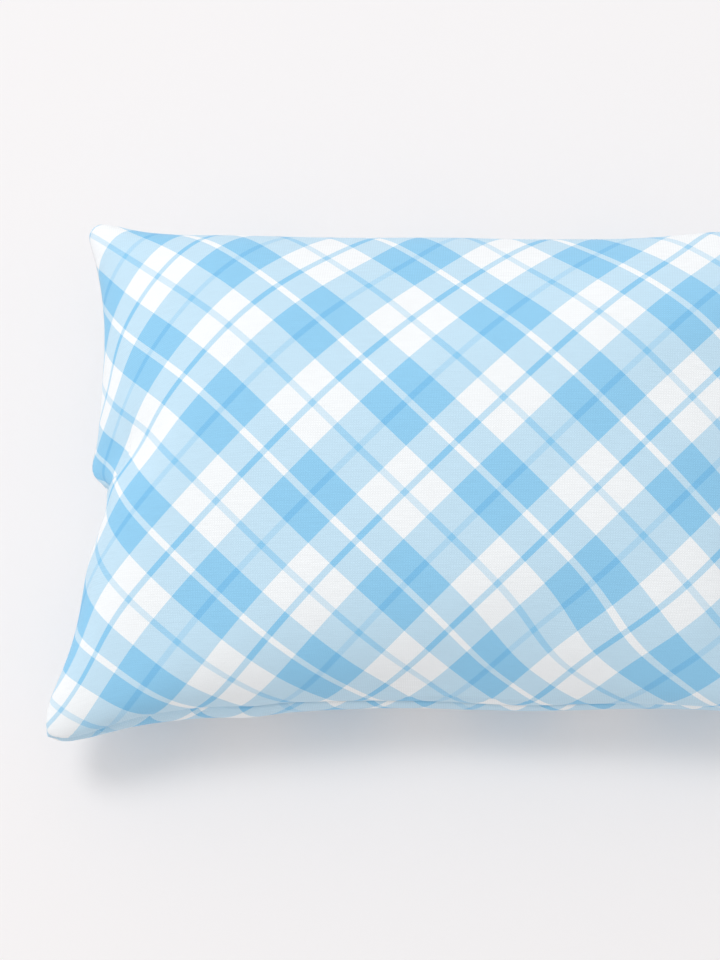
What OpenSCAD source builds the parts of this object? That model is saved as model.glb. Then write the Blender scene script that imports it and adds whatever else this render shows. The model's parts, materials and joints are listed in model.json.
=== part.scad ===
// Rectangular lumbar cushion, filled and lying on its back panel.
// The cover is two cloth panels sewn face to face, with a coil zip in the far long seam.
// A loose insert of two ticking panels fills the cover, and holds the fibre.
// Millimetres, +Z up, length along X, zip on the +Y side, base of the back panel at Z = 0.

/* [Cushion] */
// Length between the corner tips
tip_length = 488; // [440:1:540]
// Width between the corner tips
tip_width = 328; // [290:1:370]
// How far the middle of a short side is drawn in behind its tips
short_side_draw = 18; // [8:1:28]
// How far the middle of a long side is drawn in behind its tips
long_side_draw = 17; // [10:1:28]
// Length of the straight middle of a short side
short_side_straight = 130; // [80:1:180]
// Height of the front crown above the seam
front_crown = 82; // [65:1:100]
// Depth of the back panel below the seam
back_depth = 58; // [48:1:70]
// Height of the rolled edge on each side of the seam
edge_roll = 2.5; // [2.2:0.1:4]

/* [Cloth] */
// Thickness of the cover cloth
cover_cloth = 0.8; // [0.5:0.1:1]
// Thickness of the insert's ticking
insert_cloth = 0.6; // [0.4:0.1:0.8]
// Width of the seam allowance turned to the inside
seam_allowance = 10; // [7:1:14]
// Width of the stitched fold at the seam, inside which the panel opens
seam_fold = 2; // [1.6:0.1:2.4]
// Gap between the cover and its insert, and between the ticking and the fibre
filling_gap = 0.8; // [0.7:0.1:1.2]

/* [Zip] */
// Length of the slot in the far seam that the zip closes
zip_length = 324; // [240:1:332]
// Width of the closed chain
chain_width = 4.2; // [3.8:0.1:5]
// Height of the coil above its tape
coil_height = 2; // [1.6:0.1:2.4]
// Distance from one turn of a coil to the next
coil_pitch = 1.6; // [1.5:0.1:2.4]
// Thickness of a coil's wire
coil_wire = 0.66; // [0.5:0.02:0.7]
// How far the heads of the turns reach past the chain's centre line
coil_lap = 0.6; // [0.4:0.1:0.8]
// Width of the edge that the turns are sewn down along
coil_edge = 0.4; // [0.3:0.1:0.6]
// Thickness of a tape
tape_thickness = 0.5; // [0.4:0.1:0.7]
// Height of a tape above or below the chain's centre line
tape_reach = 11; // [9:0.5:13]
// Length of a tape beyond each end of the slot
tape_overrun = 6; // [3:1:10]
// Wall of the clip that holds a top stop on its tape
stop_wall = 0.3; // [0.2:0.1:0.4]
// Length of a stop along the chain
stop_length = 2.4; // [2.2:0.1:3]

/* [Slider] */
// Length of the slider along the chain
slider_length = 9; // [8:0.5:12]
// Thickness of each of its two wings
wing_thickness = 0.8; // [0.6:0.1:1]
// Thickness of the side flanges
flange_thickness = 0.7; // [0.5:0.1:0.9]
// How far the nose stands out past the flanges on each side
nose_flare = 0.4; // [0.2:0.1:0.6]
// Width of the post that parts the chain
post_width = 1.6; // [1.4:0.1:1.7]
// Running gap between the slider and the chain, tapes and cloth
slider_gap = 0.25; // [0.2:0.05:0.35]
// Width of the bridge that carries the pull
bridge_width = 1.8; // [1.4:0.1:2.2]
// Thickness of the bridge's bar and legs
bridge_bar = 1; // [0.8:0.1:1.2]

/* [Pull] */
// Length of the pull from its pivot to its tip
pull_length = 20; // [16:1:26]
// Width of the pull's tab
pull_width = 5; // [4.6:0.1:6]
// Thickness of the pull
pull_thickness = 1.2; // [1:0.1:1.4]
// Radius of the pivot bar under the bridge
pivot_radius = 0.6; // [0.5:0.05:0.7]

/* [Hidden] */

$fn = 48;

// Radius of the round corners of the slider's wings
WING_CORNER = 1;

PLAID_BLUE = [0.66, 0.84, 0.95];
TICKING_WHITE = [0.95, 0.95, 0.93];
FIBRE_WHITE = [0.98, 0.98, 0.98];
TAPE_BLUE = [0.78, 0.88, 0.95];
COIL_WHITE = [0.92, 0.94, 0.95];
NICKEL = [0.75, 0.75, 0.74];

// The seam lies in one level plane, above the base by the depth of the back.
seam_z = back_depth;
half_length = tip_length / 2;
half_width = tip_width / 2;
// Far seam, at the middle of the long side.
edge_y = half_width - long_side_draw;
// The base is cut flat this much above the back's lowest point.
base_cut = 0.5;

// Each profile is (1 - |s|^run)^rise, for s from the middle, 0, to the edge, 1.
// A flat panel that is filled keeps its length along the profile: 254 mm by 178 mm here, half of the cut.
FRONT_LONG = [2.8, 0.71];
FRONT_CROSS = [2.2, 0.71];
// How much fuller the front is towards its corners than its two profiles together.
FRONT_CORNERS = 1.4;
BACK_LONG = [5, 0.55];
BACK_CROSS = [5, 0.55];
ROLL = [24, 0.5];

// Grid of the panels, as cells along the length and the width.
COVER_CELLS = [26, 18];
INSERT_CELLS = [16, 12];
FILL_CELLS = [16, 12];

// Straight middles of the sides, as shares of the sides. The long ones are straight along both tapes.
long_straight = (zip_length + 2 * (tape_overrun + filling_gap)) / tip_length;
short_straight = short_side_straight / tip_width;

// Half heights across the chain, from its centre line.
post_half = post_width / 2;
stop_edge = post_half + slider_gap;
tape_edge = stop_edge + stop_wall;
chain_half = chain_width / 2;
tail_half = chain_half + slider_gap + flange_thickness;
nose_half = tail_half + nose_flare;
slot_half = nose_half + 2 * slider_gap;
tape_bend = slot_half + slider_gap;

// Places along the zip: the slider rests at the closed end, against the top stops.
zip_half = zip_length / 2;
slider_half = slider_length / 2;
slider_x = zip_half - slider_half - slider_gap;
nose_x = slider_x + slider_half;
coil_end_x = nose_x - stop_length;
post_x = coil_end_x + slider_gap + post_half;
bottom_stop_x = -zip_half + slider_gap;
coil_start_x = bottom_stop_x + stop_length;

function profile(s, shape) = pow(max(0, 1 - pow(abs(s), shape[0])), shape[1]);

// Rise of a side from its straight middle, 0, to its tip, 1.
function ear(s, straight) = pow(max(0, (abs(s) - straight) / (1 - straight)), 2);

// Plan of a level that lies inset from the cover's outline, for u and v from -1 to 1.
function plan_x(u, v, inset) =
    u * (half_length - inset - short_side_draw * (1 - ear(v, short_straight)));
function plan_y(u, v, inset) =
    v * (half_width - inset - long_side_draw * (1 - ear(u, long_straight)));

function crown(u, v, side) =
    side > 0
        ? profile(u, FRONT_LONG) * profile(v, FRONT_CROSS) * (1 + FRONT_CORNERS * pow(u * v, 2))
        : profile(u, BACK_LONG) * profile(v, BACK_CROSS);

function roll(u, v) = profile(u, ROLL) * profile(v, ROLL);

// Full height of a panel from the seam to its outside. The back is drawn deeper by the base cut.
function full_height(side) = side > 0 ? front_crown : back_depth + base_cut;

// One point of a level, with its height measured outwards from the seam.
// depth is how far the level lies inside the cover's outside, edge its height at the seam.
function skin(u, v, side, inset, depth, edge) =
    let (bead = max(0, edge_roll - depth - edge),
         rise = full_height(side) - depth - edge - bead,
         height = edge + rise * crown(u, v, side) + bead * roll(u, v))
    [plan_x(u, v, inset), plan_y(u, v, inset), side > 0 ? height : min(height, back_depth - depth)];

// Share of the width, from 1 at the seam, at which a panel's inside reaches a height.
// u is the share of the length.
function inside_share(u, side, height, low, high, steps) =
    let (middle = (low + high) / 2,
         reached = skin(u, middle, side, seam_fold, cover_cloth, cover_cloth)[2])
    steps == 0
        ? low
        : reached > height
            ? inside_share(u, side, height, middle, high, steps - 1)
            : inside_share(u, side, height, low, middle, steps - 1);

// The panel's inside comes in furthest either at the zip's middle or at its ends.
function inside_y(side, height) =
    min([for (u = [0, long_straight]) inside_share(u, side, height, 0.5, 1, 24)]) * (edge_y - seam_fold);

// Levels across the zip, which lies just inside the front panel's edge.
tape_y = inside_y(1, tape_bend) - filling_gap;
tape_back_y = tape_y - tape_thickness;
coil_top_y = tape_y + coil_height;
wing_top_y = coil_top_y + slider_gap + wing_thickness;
lower_wing_y = tape_back_y - slider_gap;

// The pull turns on a bar under the bridge, at a height that lets it lie over the seam.
pivot_y = edge_y + filling_gap + pull_thickness / 2;
bridge_clear_y = pivot_y + pivot_radius + slider_gap;
bridge_top_y = bridge_clear_y + bridge_bar;
bridge_half = slider_half - WING_CORNER;
bridge_gap_half = bridge_half - bridge_bar;
arm_inner = bridge_width / 2 + slider_gap;
tab_start = norm([bridge_half, bridge_top_y - pivot_y]) + slider_gap;

// Stations from -1 to 1, closer together towards the edges, where the panels curve most.
function station(i, count) = sin(90 * (2 * i / count - 1));

function level(cells, side, inset, depth, edge) =
    [for (j = [0:cells[1]], i = [0:cells[0]])
        skin(station(i, cells[0]), station(j, cells[1]), side, inset, depth, edge)];

function cell_index(i, j, cells) = j * (cells[0] + 1) + i;

// Triangles of a grid, seen from above. In each quarter the cells are cut towards the corner.
function grid_faces(cells, first) =
    [for (j = [0:cells[1] - 1], i = [0:cells[0] - 1])
        let (a = first + cell_index(i, j, cells),
             b = first + cell_index(i + 1, j, cells),
             c = first + cell_index(i + 1, j + 1, cells),
             d = first + cell_index(i, j + 1, cells),
             left = i < cells[0] / 2,
             near = j < cells[1] / 2)
        each (left == near ? [[a, c, b], [a, d, c]] : [[a, d, b], [b, d, c]])];

// The same faces, seen from the other side.
function turned_over(faces) = [for (f = faces) [f[2], f[1], f[0]]];

// Index of each border point of a grid, anticlockwise from its first corner.
function border(cells, first) =
    [each [for (i = [0:cells[0] - 1]) first + cell_index(i, 0, cells)],
     each [for (j = [0:cells[1] - 1]) first + cell_index(cells[0], j, cells)],
     each [for (i = [cells[0]:-1:1]) first + cell_index(i, cells[1], cells)],
     each [for (j = [cells[1]:-1:1]) first + cell_index(0, j, cells)]];

// Band of triangles from one closed row of points to the next.
function band(from, to) =
    let (count = len(from))
    [for (k = [0:count - 1])
        let (n = (k + 1) % count)
        each [[from[k], from[n], to[n]], [from[k], to[n], to[k]]]];

// Sets a panel on its side of the seam: the back panel is turned over about the length.
module on_side(side) {
    translate([0, 0, seam_z])
        rotate([side > 0 ? 0 : 180, 0, 0])
            children();
}

// A cover panel: the outside, the inside, and the allowance that lies along the seam.
module cover_panel(side) {
    outside = level(COVER_CELLS, side, 0, 0, 0);
    inside = level(COVER_CELLS, side, seam_fold, cover_cloth, cover_cloth);
    flat = level(COVER_CELLS, side, seam_allowance, 0, 0);
    edge = border(COVER_CELLS, 0);
    count = len(outside);
    low = [for (k = [0:len(edge) - 1]) 2 * count + k];
    high = [for (k = low) k + len(edge)];
    polyhedron(
        points = [each outside,
                  each inside,
                  each [for (k = edge) [flat[k][0], flat[k][1], 0]],
                  each [for (k = edge) [flat[k][0], flat[k][1], cover_cloth]]],
        faces = [each grid_faces(COVER_CELLS, 0),
                 each band(edge, low),
                 each band(low, high),
                 each band(high, [for (k = edge) count + k]),
                 each turned_over(grid_faces(COVER_CELLS, count))],
        convexity = 6);
}

// The slot that the zip closes, through the seam's fold and allowance.
module zip_slot() {
    depth = seam_allowance + seam_fold;
    translate([-zip_half, edge_y - depth, seam_z - slot_half])
        cube([zip_length, 2 * depth, 2 * slot_half]);
}

module cover_front() {
    color(PLAID_BLUE)
        difference() {
            on_side(1) cover_panel(1);
            zip_slot();
        }
}

module cover_back() {
    color(PLAID_BLUE)
        difference() {
            on_side(-1) cover_panel(-1);
            zip_slot();
        }
}

insert_inset = seam_allowance + filling_gap;
insert_depth = cover_cloth + filling_gap;
fill_inset = insert_inset + insert_cloth + filling_gap;
fill_depth = insert_depth + insert_cloth + filling_gap;

// A ticking panel of the insert, sewn along its rim to the other one.
module ticking_panel(side) {
    outside = level(INSERT_CELLS, side, insert_inset, insert_depth, 0);
    inside = level(INSERT_CELLS, side, insert_inset + insert_cloth, insert_depth + insert_cloth, 0);
    edge = border(INSERT_CELLS, 0);
    count = len(outside);
    polyhedron(
        points = [each outside, each inside],
        faces = [each grid_faces(INSERT_CELLS, 0),
                 each band(edge, [for (k = edge) count + k]),
                 each turned_over(grid_faces(INSERT_CELLS, count))],
        convexity = 6);
}

module insert_front() {
    color(TICKING_WHITE) on_side(1) ticking_panel(1);
}

module insert_back() {
    color(TICKING_WHITE) on_side(-1) ticking_panel(-1);
}

// The fibre fills the ticking, and its two faces end at one rim.
module fibre_fill() {
    upper = level(FILL_CELLS, 1, fill_inset, fill_depth, 0);
    lower = [for (p = level(FILL_CELLS, -1, fill_inset, fill_depth, 0)) [p[0], p[1], -p[2]]];
    count = len(upper);
    rim = border(FILL_CELLS, 0);
    on_rim = [for (k = [0:count - 1]) len(search(k, rim)) > 0];
    under = [for (f = turned_over(grid_faces(FILL_CELLS, 0))) [for (k = f) on_rim[k] ? k : count + k]];
    color(FIBRE_WHITE)
        on_side(1)
            polyhedron(
                points = [each upper, each lower],
                faces = [each grid_faces(FILL_CELLS, 0), each under],
                convexity = 6);
}

// Puts an outline drawn in Y and Z, with Z from the chain's centre line, along X between two places.
module along_zip(from_x, to_x) {
    translate([from_x, 0, seam_z])
        rotate([90, 0, 90])
            linear_extrude(to_x - from_x)
                children();
}

// A tape stands square to the chain between the slider's wings, then leans back along its panel.
module tape(side) {
    tape_top_y = inside_y(side, tape_reach) - filling_gap;
    along_zip(-zip_half - tape_overrun, zip_half + tape_overrun)
        polygon([[tape_y, side * tape_edge],
                 [tape_y, side * tape_bend],
                 [tape_top_y, side * tape_reach],
                 [tape_top_y - tape_thickness, side * tape_reach],
                 [tape_back_y, side * tape_bend],
                 [tape_back_y, side * tape_edge]]);
}

module zip_tape_front() {
    color(TAPE_BLUE) tape(1);
}

module zip_tape_back() {
    color(TAPE_BLUE) tape(-1);
}

// One coil row, seen along Y: turns on a sewn edge, their heads past the centre line.
function coil_row(side, phase) =
    let (foot = side * (chain_half - coil_edge),
         bevel = coil_wire / 3,
         shoulder = -side * (coil_lap - bevel),
         head = -side * coil_lap,
         first = coil_start_x + phase * coil_pitch,
         last = floor((coil_end_x - first - coil_wire) / coil_pitch))
    [[coil_start_x, side * chain_half],
     [coil_start_x, foot],
     each [for (k = [0:last])
         let (x = first + k * coil_pitch)
         each [[x, foot],
               [x, shoulder],
               [x + bevel, head],
               [x + coil_wire - bevel, head],
               [x + coil_wire, shoulder],
               [x + coil_wire, foot]]],
     [coil_end_x, foot],
     [coil_end_x, side * chain_half]];

module coil(side, phase) {
    translate([0, coil_top_y, seam_z])
        rotate([90, 0, 0])
            linear_extrude(coil_height)
                polygon(coil_row(side, phase));
}

module zip_coil_front() {
    color(COIL_WHITE) coil(1, 0.25);
}

module zip_coil_back() {
    color(COIL_WHITE) coil(-1, 0.75);
}

// A top stop is a clip round the tape's edge, with a thin lip behind the tape.
module stop_section(side) {
    lip = slider_gap / 2;
    difference() {
        translate([tape_back_y - lip, side > 0 ? stop_edge : -chain_half])
            square([coil_height + tape_thickness + lip, chain_half - stop_edge]);
        translate([tape_back_y, side > 0 ? tape_edge : -chain_half])
            square([tape_thickness, chain_half - tape_edge]);
    }
}

module zip_top_stops() {
    color(NICKEL)
        for (side = [-1, 1])
            along_zip(coil_end_x, coil_end_x + stop_length)
                stop_section(side);
}

// The bottom stop holds both tapes, and closes the end of the chain.
module zip_bottom_stop() {
    color(NICKEL)
        along_zip(bottom_stop_x, coil_start_x) {
            translate([tape_y, -chain_half])
                square([coil_height, 2 * chain_half]);
            translate([tape_back_y, -tape_edge])
                square([tape_thickness, 2 * tape_edge]);
        }
}

// A block from one X to another, with round corners.
module rounded_block(from_x, to_x, half) {
    translate([from_x, -half + WING_CORNER])
        square([to_x - from_x, 2 * (half - WING_CORNER)]);
    translate([from_x + WING_CORNER, -half])
        square([to_x - from_x - 2 * WING_CORNER, 2 * half]);
    for (x = [from_x + WING_CORNER, to_x - WING_CORNER], side = [-1, 1])
        translate([x, side * (half - WING_CORNER)])
            circle(WING_CORNER);
}

// Outline of a wing, seen along Y: round ends and a wider nose.
module wing_outline() {
    rounded_block(-slider_half, slider_half - WING_CORNER, tail_half);
    rounded_block(slider_half - nose_half, slider_half, nose_half);
}

// Lays an outline drawn in X and Z on a level of Y, thick towards -Y.
module on_edge(y, thickness) {
    translate([slider_x, y, seam_z])
        rotate([90, 0, 0])
            linear_extrude(thickness)
                children();
}

module flange_outline() {
    for (side = [-1, 1])
        translate([-slider_half + WING_CORNER, side > 0 ? tail_half - flange_thickness : -tail_half])
            square([slider_length - 2 * WING_CORNER, flange_thickness]);
}

// Post between the wings, round towards the chain that it parts.
module post_outline() {
    translate([post_x - slider_x, 0])
        circle(post_half);
}

module bridge_outline() {
    foot = wing_top_y - wing_thickness / 2;
    corner = bridge_bar;
    difference() {
        union() {
            translate([-bridge_half, foot])
                square([2 * bridge_half, bridge_top_y - foot - corner]);
            translate([-bridge_half + corner, foot])
                square([2 * (bridge_half - corner), bridge_top_y - foot]);
            for (side = [-1, 1])
                translate([side * (bridge_half - corner), bridge_top_y - corner])
                    circle(corner);
        }
        translate([-bridge_gap_half, wing_top_y])
            square([2 * bridge_gap_half, bridge_clear_y - wing_top_y]);
    }
}

module zip_slider() {
    color(NICKEL) {
        on_edge(wing_top_y, wing_thickness)
            wing_outline();
        on_edge(lower_wing_y, wing_thickness)
            wing_outline();
        on_edge(wing_top_y, wing_top_y - tape_y - slider_gap)
            flange_outline();
        on_edge(wing_top_y, wing_top_y - lower_wing_y + wing_thickness)
            post_outline();
        translate([slider_x, 0, seam_z - bridge_width / 2])
            linear_extrude(bridge_width)
                bridge_outline();
    }
}

// The pull lies past the closed end of the chain: a pivot bar, two arms beside the bridge, and a tab.
module tab_outline() {
    round_end = pull_width / 2;
    difference() {
        union() {
            translate([pull_length - round_end, 0])
                circle(round_end);
            translate([tab_start, -round_end])
                square([pull_length - round_end - tab_start, pull_width]);
        }
        translate([pull_length - round_end, 0])
            circle(round_end / 2);
    }
}

module zip_pull() {
    arm = pull_width / 2 - arm_inner;
    arm_reach = tab_start + arm;
    color(NICKEL)
        translate([slider_x, pivot_y, seam_z]) {
            translate([0, 0, -pull_width / 2])
                cylinder(r = pivot_radius, h = pull_width);
            for (side = [-1, 1])
                translate([0, 0, side > 0 ? arm_inner : -pull_width / 2]) {
                    cylinder(d = pull_thickness, h = arm);
                    translate([0, -pull_thickness / 2, 0])
                        cube([arm_reach, pull_thickness, arm]);
                }
            translate([0, pull_thickness / 2, 0])
                rotate([90, 0, 0])
                    linear_extrude(pull_thickness)
                        tab_outline();
        }
}

cover_front();
cover_back();
insert_front();
insert_back();
fibre_fill();
zip_tape_front();
zip_tape_back();
zip_coil_front();
zip_coil_back();
zip_top_stops();
zip_bottom_stop();
zip_slider();
zip_pull();
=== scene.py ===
"""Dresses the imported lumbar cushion: a bias plaid cover over a filled insert, with a coil zip in the far seam.

The two cover panels start flat at their cut size and are filled by cloth simulation inside a pinned seam. Their
UVs are their places on the flat cloth, with a few soft shifts where the cloth was eased, so the plaid follows the
cloth. The zip's tapes and coils are modelled here. Its stops, slider and pull keep the shapes of the CAD nodes.
"""

from __future__ import annotations

import json
import logging
import math
from collections.abc import Callable, Iterator
from contextlib import contextmanager
from dataclasses import dataclass, field
from enum import Enum
from typing import Any

import bpy
import numpy as np
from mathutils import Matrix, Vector

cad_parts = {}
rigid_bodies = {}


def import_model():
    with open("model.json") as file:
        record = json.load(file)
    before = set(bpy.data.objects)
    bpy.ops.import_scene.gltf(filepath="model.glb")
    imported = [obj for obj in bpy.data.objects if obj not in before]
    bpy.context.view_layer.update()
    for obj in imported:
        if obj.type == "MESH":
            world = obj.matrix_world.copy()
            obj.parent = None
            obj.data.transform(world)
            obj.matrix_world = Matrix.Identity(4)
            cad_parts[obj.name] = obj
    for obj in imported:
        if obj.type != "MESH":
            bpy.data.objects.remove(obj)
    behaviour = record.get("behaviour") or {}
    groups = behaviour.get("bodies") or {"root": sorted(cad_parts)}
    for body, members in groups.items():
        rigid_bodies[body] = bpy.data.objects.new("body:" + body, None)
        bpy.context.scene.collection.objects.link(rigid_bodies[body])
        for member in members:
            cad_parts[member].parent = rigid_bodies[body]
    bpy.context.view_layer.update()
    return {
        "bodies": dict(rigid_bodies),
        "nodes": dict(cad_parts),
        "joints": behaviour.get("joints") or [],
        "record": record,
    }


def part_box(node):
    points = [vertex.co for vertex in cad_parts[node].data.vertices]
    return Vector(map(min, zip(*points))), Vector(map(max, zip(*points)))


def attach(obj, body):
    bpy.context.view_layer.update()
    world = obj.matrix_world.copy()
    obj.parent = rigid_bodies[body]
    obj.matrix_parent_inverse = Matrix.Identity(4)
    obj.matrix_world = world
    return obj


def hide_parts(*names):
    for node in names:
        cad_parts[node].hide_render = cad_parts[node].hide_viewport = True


LOG = logging.getLogger("cushion")
Pair = tuple[float, float]
Triple = tuple[float, float, float]
Colour = Triple
Waves = tuple[Triple, ...]
Piece = bpy.types.Object
Finish = bpy.types.Material


class Side(Enum):
    """Side of the seam on which a panel lies, with the sign of its height above the seam."""

    FRONT = 1
    BACK = -1


class Weave(Enum):
    """How the threads of a cloth cross."""

    PLAIN = "plain"
    HERRINGBONE = "herringbone"


# Shader maths


def math_method(operation: str, swapped: bool = False) -> Callable[..., Value]:
    """Makes a method of Value that adds one Math node.

    Args:
        operation: the node's operation.
        swapped: whether the other number comes first.

    Returns:
        The method.
    """

    def method(self: Value, *others: Any) -> Value:
        """Adds the Math node on this number and the others."""
        values = (*others, self) if swapped else (self, *others)
        return self.shader.math(operation, *values)

    return method


class Value:
    """A number on a shader socket, with the operators that add Math nodes; a comparison gives one or zero."""

    def __init__(self, shader: Shader, socket: bpy.types.NodeSocket) -> None:
        """Keeps the material under construction, and the output that carries the number."""
        self.shader = shader
        self.socket = socket

    __add__ = __radd__ = math_method("ADD")
    __sub__ = math_method("SUBTRACT")
    __rsub__ = math_method("SUBTRACT", swapped=True)
    __mul__ = __rmul__ = math_method("MULTIPLY")
    __truediv__ = math_method("DIVIDE")
    __abs__ = math_method("ABSOLUTE")
    __lt__ = math_method("LESS_THAN")
    __gt__ = math_method("GREATER_THAN")
    fraction = math_method("FRACT")
    sine = math_method("SINE")

    def near(self, centre: float, width: float) -> Value:
        """One inside a stripe with this middle and full width, else zero."""
        return abs(self - centre) < width / 2


class Shader:
    """A procedural material under construction, built round one Principled BSDF."""

    def __init__(self, name: str) -> None:
        """Starts a material with a Principled BSDF and an output.

        Args:
            name: the material's name.
        """
        self.material = bpy.data.materials.new(name)
        self.material.use_nodes = True
        self.tree = self.material.node_tree
        self.surface = self.tree.nodes["Principled BSDF"]

    def node(self, kind: str, settings: dict[str, Any] | None = None, output: str | int = 0,
             **sockets: Any) -> Value:
        """Adds a node.

        Args:
            kind: the node's type.
            settings: properties to set first; "stops" fills a colour ramp.
            output: the name or number of the output to hand back.
            sockets: values or links of its inputs, with _ for a space in a name, or i0, i1 for a number.

        Returns:
            The chosen output.
        """
        made = self.tree.nodes.new(kind)
        for key, value in (settings or {}).items():
            if key == "stops":
                self._fill_ramp(made.color_ramp, value)
            else:
                setattr(made, key, value)
        for key, value in sockets.items():
            numbered = key[0] == "i" and key[1:].isdigit()
            self.feed(made.inputs[int(key[1:]) if numbered else key.replace("_", " ")], value)
        return Value(self, made.outputs[output])

    @staticmethod
    def _fill_ramp(ramp: bpy.types.ColorRamp, stops: list[tuple[float, Colour]]) -> None:
        """Sets the stops of a colour ramp.

        Args:
            ramp: the ramp, with its two first stops.
            stops: the place and colour of each stop, in order.
        """
        while len(ramp.elements) < len(stops):
            ramp.elements.new(1.0)
        for element, (place, colour) in zip(ramp.elements, stops):
            element.position = place
            element.color = (*colour, 1.0)

    def feed(self, socket: bpy.types.NodeSocket, value: Any) -> None:
        """Links or sets one input.

        Args:
            socket: the input.
            value: a Value to link, or a number, vector or colour to set.
        """
        if isinstance(value, Value):
            self.tree.links.new(value.socket, socket)
        elif isinstance(value, tuple) and len(value) == 3 and socket.type == "RGBA":
            socket.default_value = (*value, 1.0)
        else:
            socket.default_value = value

    def math(self, operation: str, *values: Any) -> Value:
        """Adds a Math node on numbers and Values, in order."""
        return self.node("ShaderNodeMath", {"operation": operation},
                         **{f"i{k}": value for k, value in enumerate(values)})

    def mix(self, factor: Any, first: Any, second: Any, blend: str = "MIX") -> Value:
        """Mixes two colours; the factor is the share of the second."""
        return self.node("ShaderNodeMix", {"data_type": "RGBA", "blend_type": blend}, 2,
                         i0=factor, i6=first, i7=second)

    def shaded(self, colour: Any, shade: Value) -> Value:
        """Multiplies a colour by a grey shade."""
        grey = self.node("ShaderNodeCombineXYZ", X=shade, Y=shade, Z=shade)
        return self.mix(1.0, colour, grey, "MULTIPLY")

    def split(self, vector: Value) -> tuple[Value, ...]:
        """Takes a vector apart into its three numbers."""
        parts = self.node("ShaderNodeSeparateXYZ", i0=vector).socket.node.outputs
        return tuple(Value(self, part) for part in parts)

    def in_view(self) -> Value:
        """Tells the rays that make the picture from those that light the scene.

        Returns:
            One for rays from the camera, also by way of a mirror or glass, else zero.
        """
        seen = self.node("ShaderNodeLightPath", output="Is Camera Ray")
        for kind in ("Is Glossy Ray", "Is Transmission Ray"):
            seen = self.math("MAXIMUM", seen, self.node("ShaderNodeLightPath", output=kind))
        return seen

    def place(self) -> Value:
        """Object coordinates, in metres."""
        return self.node("ShaderNodeTexCoord", output="Object")

    def noise(self, where: Value, scale: float, detail: float = 2.0) -> Value:
        """Noise around 0.5, with so many lumps in a metre and so many octaves."""
        return self.node("ShaderNodeTexNoise", {"noise_dimensions": "3D"}, "Fac",
                         Vector=where, Scale=scale, Detail=detail)

    def finish(self, base: Any, roughness: Any, height: Any = None, depth: float = 0.0,
               **constants: Any) -> Finish:
        """Feeds the Principled BSDF.

        Args:
            base: base colour.
            roughness: roughness.
            height: bump height from 0 to 1, if there is any.
            depth: height of the bump in metres.
            constants: further sockets that are the same all over, with _ for a space.

        Returns:
            The finished material.
        """
        self.feed(self.surface.inputs["Base Color"], base)
        self.feed(self.surface.inputs["Roughness"], roughness)
        for key, value in constants.items():
            self.feed(self.surface.inputs[key.replace("_", " ")], value)
        if height is not None:
            bump = self.node("ShaderNodeBump", None, "Normal", Strength=1.0, Distance=depth, Height=height)
            self.feed(self.surface.inputs["Normal"], bump)
        return self.material


class Surround(Shader):
    """The world's shader under construction."""

    def __init__(self, name: str) -> None:
        """Starts a world for the scene.

        Args:
            name: the world's name.
        """
        world = bpy.data.worlds.new(name)
        world.use_nodes = True
        bpy.context.scene.world = world
        self.tree = world.node_tree
        self.tree.nodes.remove(self.tree.nodes["Background"])


# Finishes


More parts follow.
